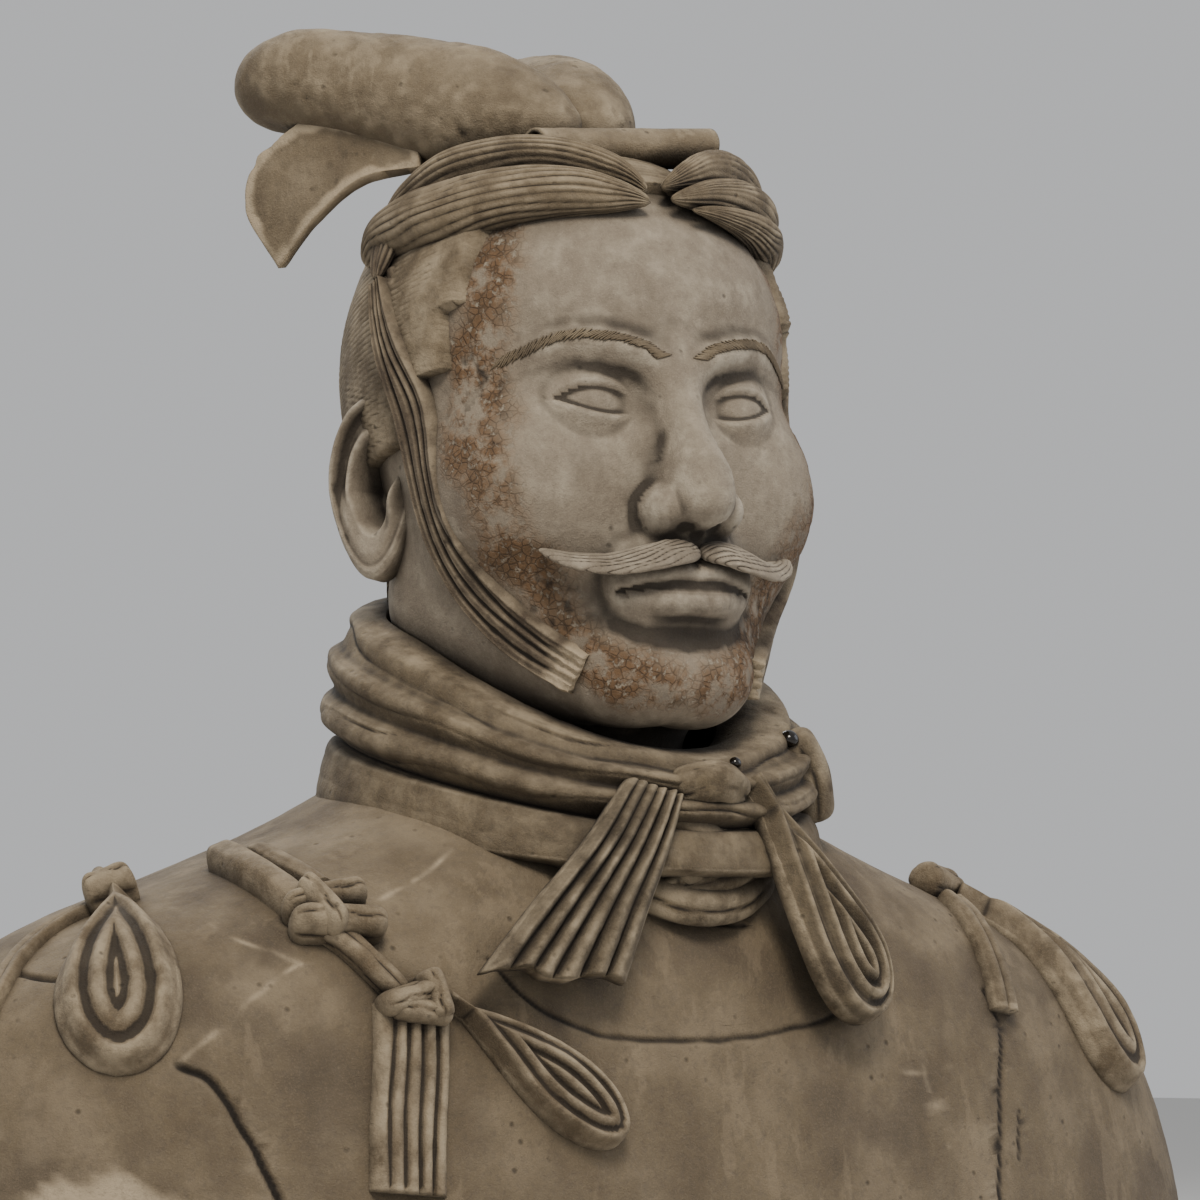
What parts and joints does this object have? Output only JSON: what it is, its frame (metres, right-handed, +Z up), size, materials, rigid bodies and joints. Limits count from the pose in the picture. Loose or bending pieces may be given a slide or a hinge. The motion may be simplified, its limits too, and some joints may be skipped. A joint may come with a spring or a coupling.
{
  "type": "terracotta warrior bust",
  "caption": "Fired clay bust of an armoured warrior with moustache, tailed cap and knotted scarf; its head stands in the torso's neck socket.",
  "frame": {"origin": "on the flat underside, straight below the head's axis at the chin", "axes": "+Z up, the figure looks along -Y, +X towards the figure's left shoulder"},
  "size_m": [0.6315, 0.271, 0.5475],
  "materials": {
    "head_clay": "matt unglazed fired clay with earth dust and traces of lacquer",
    "torso_clay": "matt unglazed fired clay with earth dust, cracks and mended joints"
  },
  "bodies": {
    "root": {"head": "head_clay", "torso": "torso_clay"}
  },
  "joints": []
}
